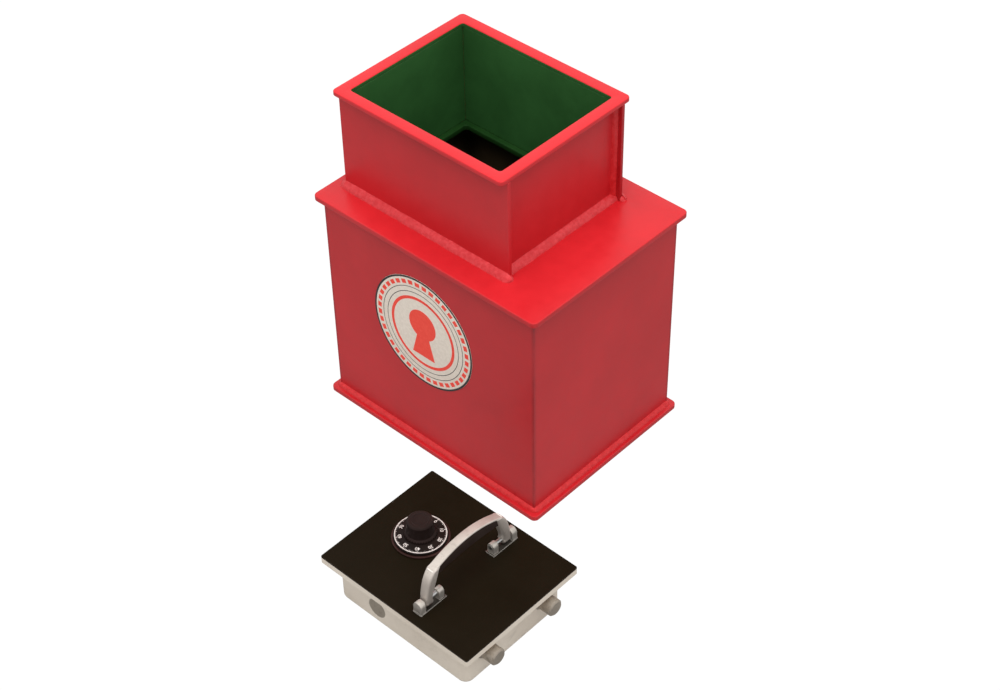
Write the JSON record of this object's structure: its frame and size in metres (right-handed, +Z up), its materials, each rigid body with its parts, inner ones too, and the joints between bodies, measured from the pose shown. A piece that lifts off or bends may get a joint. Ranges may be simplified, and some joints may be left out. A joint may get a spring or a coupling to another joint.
{
  "type": "underfloor safe",
  "caption": "Welded steel underfloor safe with an offset rectangular neck, and a lift-out door with combination dial, sliding bolts and folding lift handle.",
  "frame": {"origin": "centre of the base plate's bottom face, on the floor", "axes": "+Z up; -Y out of the wall that carries the round label; +X to the right seen from that wall, the way the door's bolts are thrown"},
  "size_m": [0.4105, 0.4405, 0.388],
  "materials": {
    "red_paint": "satin red powder coat",
    "label_print": "printed vinyl",
    "cream_enamel": "semi-gloss cream enamel",
    "black_face": "fine grained black sheet",
    "bare_steel": "turned, oiled",
    "zinc_steel": "zinc plated",
    "brass": "machined",
    "die_cast_alloy": "as cast",
    "spring_steel": "oiled",
    "black_dial": "satin black with white figures",
    "satin_handle": "satin cast",
    "black_grip": "matt moulded"
  },
  "bodies": {
    "safe": {"base_plate": "red_paint", "body_front_wall": "red_paint", "body_back_wall": "red_paint", "body_left_wall": "red_paint", "body_right_wall": "red_paint", "shoulder_plate": "red_paint", "neck_front_plate": "red_paint", "neck_back_plate": "red_paint", "neck_left_plate": "red_paint", "neck_right_plate": "red_paint", "rim_flange": "red_paint", "base_weld": "red_paint", "shoulder_weld": "red_paint", "neck_base_weld": "red_paint", "neck_corner_welds": "red_paint", "front_label": "label_print"},
    "door": {"door_plate": "cream_enamel", "face_sheet": "black_face", "door_case": "cream_enamel", "case_cover": "cream_enamel", "cover_screws": "zinc_steel", "blanking_plug": "bare_steel", "fixed_dogs": "bare_steel", "bolt_bushes": "brass", "lock_housing": "die_cast_alloy", "lock_cover": "zinc_steel", "lock_cover_screws": "zinc_steel", "lock_screws": "zinc_steel", "wheel_post": "brass", "wheel_spacers": "zinc_steel", "post_clip": "spring_steel", "dial_ring": "black_dial", "spring_bracket": "zinc_steel", "spring_bracket_screws": "zinc_steel", "handle_bracket_front": "satin_handle", "handle_bracket_back": "satin_handle", "bracket_screws": "zinc_steel", "handle_pins": "zinc_steel", "bolt_springs": "spring_steel"},
    "dial": {"dial_disc": "black_dial", "dial_knob": "black_dial", "spindle": "zinc_steel", "drive_cam": "brass"},
    "first_wheel": {"wheel_1": "brass"},
    "second_wheel": {"wheel_2": "brass"},
    "third_wheel": {"wheel_3": "brass"},
    "bolt_work": {"bolt_bar": "zinc_steel", "front_bolt": "bare_steel", "back_bolt": "bare_steel", "bolt_nuts": "zinc_steel", "lock_bolt": "brass", "link_screw": "zinc_steel", "lever_screw": "zinc_steel", "lever_spring": "spring_steel"},
    "lever": {"lock_lever": "brass"},
    "handle": {"lift_handle": "satin_handle", "handle_grip": "black_grip"}
  },
  "joints": [
    {"name": "door_lift", "type": "slide", "parent": "safe", "child": "door", "axis": [0, 0, 1], "range_m": [0, 0.45]},
    {"name": "handle_fold", "type": "hinge", "parent": "door", "child": "handle", "pos_m": [0.1815, -0.248, 0.0672], "axis": [0, 1, 0], "range_deg": [0, 90]},
    {"name": "dial_turn", "type": "hinge", "parent": "door", "child": "dial", "pos_m": [0.116, -0.243, 0.0606], "axis": [0, 0, 1], "continuous": true},
    {"name": "wheel_1_turn", "type": "hinge", "parent": "door", "child": "first_wheel", "pos_m": [0.116, -0.243, 0.04475], "axis": [0, 0, 1], "continuous": true},
    {"name": "wheel_2_turn", "type": "hinge", "parent": "door", "child": "second_wheel", "pos_m": [0.116, -0.243, 0.04075], "axis": [0, 0, 1], "continuous": true},
    {"name": "wheel_3_turn", "type": "hinge", "parent": "door", "child": "third_wheel", "pos_m": [0.116, -0.243, 0.03675], "axis": [0, 0, 1], "continuous": true},
    {"name": "bolt_throw", "type": "slide", "parent": "door", "child": "bolt_work", "axis": [-1, 0, 0], "range_m": [0, 0.015], "deforming": ["bolt_springs"]},
    {"name": "lever_drop", "type": "hinge", "parent": "bolt_work", "child": "lever", "pos_m": [0.14, -0.2178, 0.0319], "axis": [0, 0, 1], "range_deg": [0, 6], "deforming": ["lever_spring"]}
  ]
}
